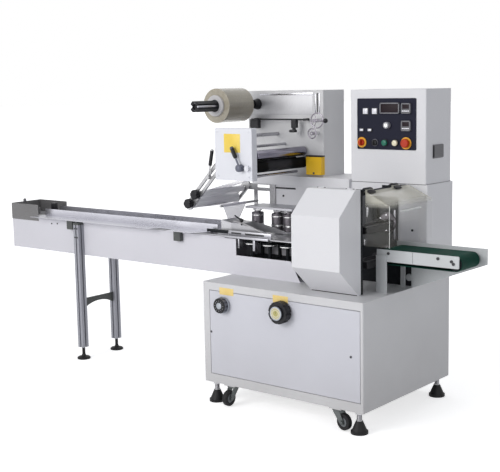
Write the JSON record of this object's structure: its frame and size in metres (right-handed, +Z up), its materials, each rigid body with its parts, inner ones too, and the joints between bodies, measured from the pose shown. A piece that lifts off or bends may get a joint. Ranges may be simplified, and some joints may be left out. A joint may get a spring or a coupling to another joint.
{
  "type": "horizontal flow wrapper",
  "caption": "Horizontal flow wrapper with film reel, forming box, rotary end seal, control tower, pusher infeed table and discharge belt, on a cabinet with casters and screw feet.",
  "frame": {"origin": "middle of the bounding box, on the floor", "axes": "+X with the product to the discharge end, +Y to the back, +Z up"},
  "size_m": [2.916, 0.803, 1.467],
  "materials": {
    "white_paint": "satin powder coat",
    "dark_metal": "satin",
    "steel": "brushed",
    "bright_steel": "polished",
    "aluminium": "anodised",
    "rubber": "matt",
    "black_plastic": "moulded",
    "panel": "printed sheet",
    "controls": "moulded",
    "red_plastic": "moulded",
    "yellow_paint": "gloss",
    "film": "thin film",
    "clear_acrylic": "clear",
    "belt_green": "matt belt"
  },
  "bodies": {
    "machine": {"arm_knobs": "black_plastic", "base_cabinet": "white_paint", "base_door": "white_paint", "control_box": "white_paint", "control_panel": "panel", "discharge_bed": "steel", "discharge_belt": "belt_green", "discharge_far_plate": "steel", "discharge_near_rail": "white_paint", "drive_cover": "yellow_paint", "film_arms": "steel", "film_column": "white_paint", "film_web": "film", "fin_seal_wheels": "dark_metal", "forming_box": "steel", "front_plate": "white_paint", "guide_brackets": "dark_metal", "infeed_bed": "steel", "infeed_end_cover": "dark_metal", "infeed_front_panel": "white_paint", "infeed_housing": "white_paint", "infeed_legs": "aluminium", "jaw_frame": "dark_metal", "leg_cross_bar": "dark_metal", "levelling_feet": "black_plastic", "panel_controls": "controls", "product_guides": "steel", "pusher_chain": "dark_metal", "rear_enclosure": "white_paint", "seal_heads": "dark_metal", "seal_shelf": "steel", "sensor_rail": "dark_metal", "tie_bars": "bright_steel", "unit_table": "steel"},
    "swivel_front_left": {"caster_fork_front_left": "steel"},
    "roller_front_left": {"caster_wheel_front_left": "rubber"},
    "swivel_front_right": {"caster_fork_front_right": "steel"},
    "roller_front_right": {"caster_wheel_front_right": "rubber"},
    "swivel_rear_left": {"caster_fork_rear_left": "steel"},
    "roller_rear_left": {"caster_wheel_rear_left": "rubber"},
    "swivel_rear_right": {"caster_fork_rear_right": "steel"},
    "roller_rear_right": {"caster_wheel_rear_right": "rubber"},
    "dial": {"dial_knob": "black_plastic"},
    "handwheel_body": {"handwheel": "black_plastic"},
    "stop_button": {"emergency_stop": "red_plastic"},
    "speed_dial": {"speed_knob": "controls"},
    "reel": {"film_mandrel": "dark_metal", "film_roll": "film"},
    "steel_feed": {"steel_roller": "bright_steel"},
    "rubber_feed": {"rubber_roller": "rubber"},
    "guide_lower": {"guide_roller_lower": "aluminium"},
    "guide_upper": {"guide_roller_upper": "aluminium"},
    "pressure_lever": {"clamp_lever": "black_plastic"},
    "tension": {"tension_wheel": "bright_steel"},
    "tension_low": {"lower_tension_wheel": "bright_steel"},
    "jaw_low": {"lower_jaw": "dark_metal"},
    "jaw_up": {"upper_jaw": "dark_metal"},
    "guard": {"end_seal_guard": "white_paint"},
    "side_cover": {"clear_cover": "clear_acrylic"}
  },
  "joints": [
    {"name": "swivel_front_left", "type": "hinge", "parent": "machine", "child": "swivel_front_left", "pos_m": [0.357, -0.3155, 0.09], "axis": [0, 0, 1], "continuous": true},
    {"name": "wheel_front_left", "type": "hinge", "parent": "swivel_front_left", "child": "roller_front_left", "pos_m": [0.357, -0.3495, 0.04], "axis": [1, 0, 0], "continuous": true},
    {"name": "swivel_front_right", "type": "hinge", "parent": "machine", "child": "swivel_front_right", "pos_m": [0.951, -0.3155, 0.09], "axis": [0, 0, 1], "continuous": true},
    {"name": "wheel_front_right", "type": "hinge", "parent": "swivel_front_right", "child": "roller_front_right", "pos_m": [0.98448, -0.3214, 0.04], "axis": [0.1736, 0.9848, 0], "continuous": true},
    {"name": "swivel_rear_left", "type": "hinge", "parent": "machine", "child": "swivel_rear_left", "pos_m": [0.357, 0.3605, 0.09], "axis": [0, 0, 1], "continuous": true},
    {"name": "wheel_rear_left", "type": "hinge", "parent": "swivel_rear_left", "child": "roller_rear_left", "pos_m": [0.357, 0.3265, 0.04], "axis": [1, 0, 0], "continuous": true},
    {"name": "swivel_rear_right", "type": "hinge", "parent": "machine", "child": "swivel_rear_right", "pos_m": [0.951, 0.3605, 0.09], "axis": [0, 0, 1], "continuous": true},
    {"name": "wheel_rear_right", "type": "hinge", "parent": "swivel_rear_right", "child": "roller_rear_right", "pos_m": [0.91752, 0.3664, 0.04], "axis": [-0.1736, -0.9848, 0], "continuous": true},
    {"name": "dial_turn", "type": "hinge", "parent": "machine", "child": "dial", "pos_m": [0.336, -0.3665, 0.48], "axis": [0, -1, 0], "continuous": true},
    {"name": "handwheel_turn", "type": "hinge", "parent": "machine", "child": "handwheel_body", "pos_m": [0.68, -0.372, 0.491], "axis": [0, -1, 0], "continuous": true},
    {"name": "stop_press", "type": "slide", "parent": "machine", "child": "stop_button", "axis": [0, 1, 0], "range_m": [0, 0.004]},
    {"name": "speed_turn", "type": "hinge", "parent": "machine", "child": "speed_dial", "pos_m": [0.904, 0.1615, 1.289], "axis": [0, -1, 0], "range_deg": [-135, 135]},
    {"name": "reel_turn", "type": "hinge", "parent": "machine", "child": "reel", "pos_m": [0.123, -0.0295, 1.385], "axis": [0, -1, 0], "continuous": true},
    {"name": "steel_roller_turn", "type": "hinge", "parent": "machine", "child": "steel_feed", "pos_m": [0.409, -0.0295, 1.159], "axis": [0, -1, 0], "continuous": true},
    {"name": "rubber_roller_turn", "type": "hinge", "parent": "machine", "child": "rubber_feed", "pos_m": [0.408, -0.0295, 1.104], "axis": [0, -1, 0], "continuous": true},
    {"name": "guide_lower_turn", "type": "hinge", "parent": "machine", "child": "guide_lower", "pos_m": [0.013, -0.0295, 0.918], "axis": [0, -1, 0], "continuous": true},
    {"name": "guide_upper_turn", "type": "hinge", "parent": "machine", "child": "guide_upper", "pos_m": [0.0573, -0.0295, 0.96419], "axis": [0, -1, 0], "continuous": true},
    {"name": "pressure_lever_turn", "type": "hinge", "parent": "machine", "child": "pressure_lever", "pos_m": [0.37, -0.2545, 1.105], "axis": [0, -1, 0], "range_deg": [-70, 20]},
    {"name": "tension_turn", "type": "hinge", "parent": "machine", "child": "tension", "pos_m": [0.523, 0.1505, 1.308], "axis": [0, -1, 0], "continuous": true},
    {"name": "tension_low_turn", "type": "hinge", "parent": "machine", "child": "tension_low", "pos_m": [0.494, 0.1505, 1.246], "axis": [0, -1, 0], "continuous": true},
    {"name": "lower_jaw_turn", "type": "hinge", "parent": "machine", "child": "jaw_low", "pos_m": [0.909, -0.0295, 0.6935], "axis": [0, 1, 0], "continuous": true},
    {"name": "upper_jaw_turn", "type": "hinge", "parent": "machine", "child": "jaw_up", "pos_m": [0.909, -0.0295, 0.8465], "axis": [0, 1, 0], "continuous": true},
    {"name": "guard_hinge", "type": "hinge", "parent": "machine", "child": "guard", "pos_m": [0.8785, -0.2155, 1.03], "axis": [-1, 0, 0], "range_deg": [0, 78]},
    {"name": "cover_hinge", "type": "hinge", "parent": "machine", "child": "side_cover", "pos_m": [1.007, -0.0295, 1.03], "axis": [0, -1, 0], "range_deg": [0, 90]}
  ],
  "couplings": [
    {"joint": "rubber_roller_turn", "follows": "steel_roller_turn", "ratio": -0.88462},
    {"joint": "upper_jaw_turn", "follows": "lower_jaw_turn", "ratio": -1}
  ]
}
